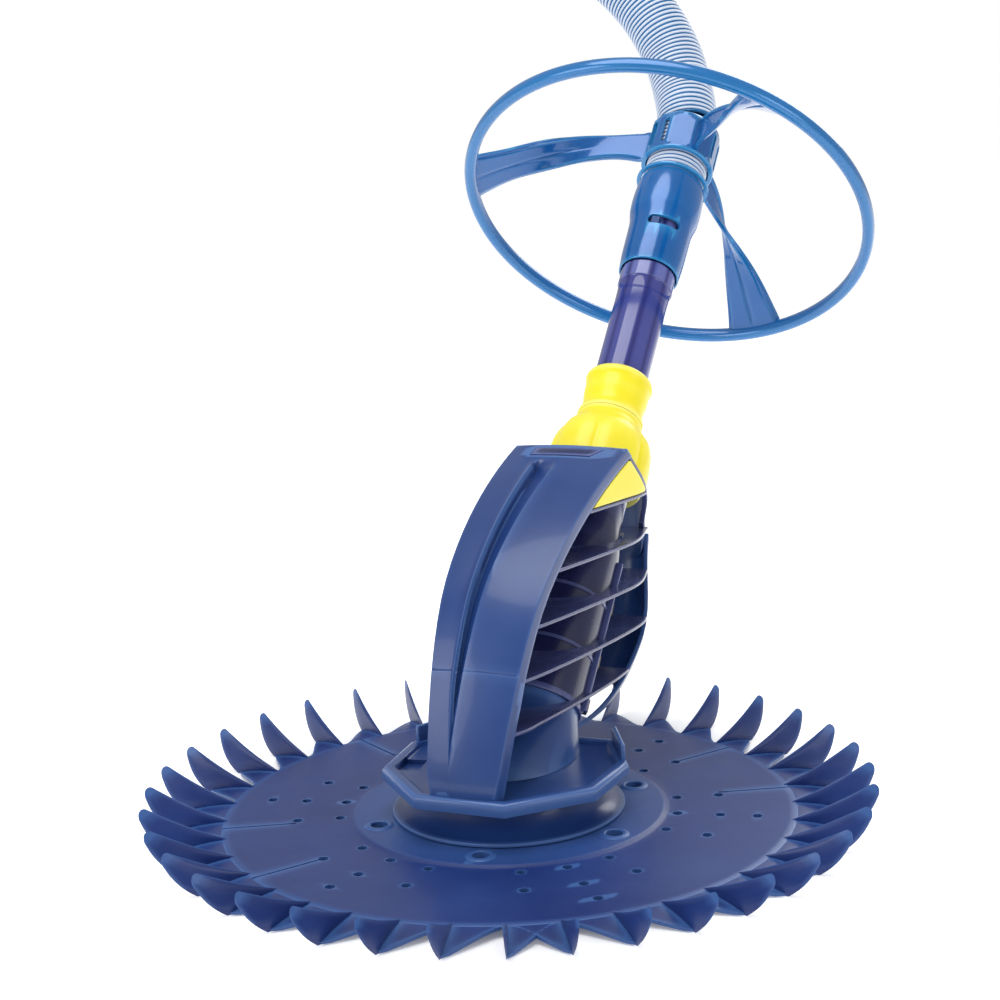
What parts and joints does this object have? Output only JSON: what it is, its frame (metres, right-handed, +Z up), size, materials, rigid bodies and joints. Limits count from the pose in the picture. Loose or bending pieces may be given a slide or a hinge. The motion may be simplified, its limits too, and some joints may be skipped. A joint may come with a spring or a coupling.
{
  "type": "pool cleaner",
  "caption": "Suction pool cleaner: finned floor disc, leaning open body with a diaphragm cassette, telescoping pipe, deflector wheel and a short leader hose.",
  "frame": {"origin": "on the pool floor, under the middle of the cleaner's own footprint without its hose; the finned disc's axis stands at y = -0.12", "axes": "+Z up, -Y towards the front of the body, +Y the way the pipe leans back, +X to the cleaner's right when seen from the front"},
  "size_m": [0.5138, 0.7574, 0.7056],
  "materials": {
    "navy_plastic": "satin, blue highlights",
    "disc_urethane": "satin, flexible",
    "dark_plastic": "gloss",
    "yellow_plastic": "gloss",
    "sky_plastic": "gloss, slightly pearly",
    "indigo_plastic": "gloss, translucent",
    "black_rubber": "matte",
    "grey_plastic": "matte",
    "clip_steel": "satin, slightly stained",
    "hose_plastic": "satin"
  },
  "bodies": {
    "cleaner": {"foot_pad": "black_rubber", "foot_hub": "navy_plastic", "body_flange": "navy_plastic", "throat": "navy_plastic", "front_shell": "navy_plastic", "label_plate": "dark_plastic", "rear_shell": "navy_plastic", "body_core": "dark_plastic", "front_insert_right": "yellow_plastic", "front_insert_left": "yellow_plastic", "rear_insert_right": "yellow_plastic", "rear_insert_left": "yellow_plastic", "chamber_clip_right_1": "clip_steel", "chamber_clip_right_2": "clip_steel", "chamber_clip_right_3": "clip_steel", "chamber_clip_left_1": "clip_steel", "chamber_clip_left_2": "clip_steel", "chamber_clip_left_3": "clip_steel", "cassette_seat": "grey_plastic", "cassette_sleeve": "grey_plastic", "diaphragm": "black_rubber", "cassette_ring": "grey_plastic", "inner_pipe": "indigo_plastic", "pipe_seal": "black_rubber", "outer_pipe": "indigo_plastic", "neck_collar": "yellow_plastic", "lock_lug": "sky_plastic", "hub_clip": "sky_plastic", "hose_end": "hose_plastic", "hose": "hose_plastic", "hose_cuff": "sky_plastic"},
    "disc": {"finned_disc": "disc_urethane"},
    "nut": {"hand_nut": "yellow_plastic"},
    "coupling": {"twist_coupling": "sky_plastic"},
    "wheel": {"deflector_wheel": "sky_plastic"}
  },
  "joints": [
    {"name": "disc_spin", "type": "hinge", "parent": "cleaner", "child": "disc", "pos_m": [0, -0.12, 0.005], "axis": [0, 0, 1], "continuous": true},
    {"name": "nut_spin", "type": "hinge", "parent": "cleaner", "child": "nut", "pos_m": [0, -0.1273, 0.005], "axis": [0, 0.712, 0.7022], "range_deg": [0, 360]},
    {"name": "lock_turn", "type": "hinge", "parent": "cleaner", "child": "coupling", "pos_m": [0, -0.1273, 0.005], "axis": [0, 0.712, 0.7022], "range_deg": [-30, 0]},
    {"name": "wheel_spin", "type": "hinge", "parent": "cleaner", "child": "wheel", "pos_m": [0, -0.1273, 0.005], "axis": [0, 0.712, 0.7022], "continuous": true}
  ]
}
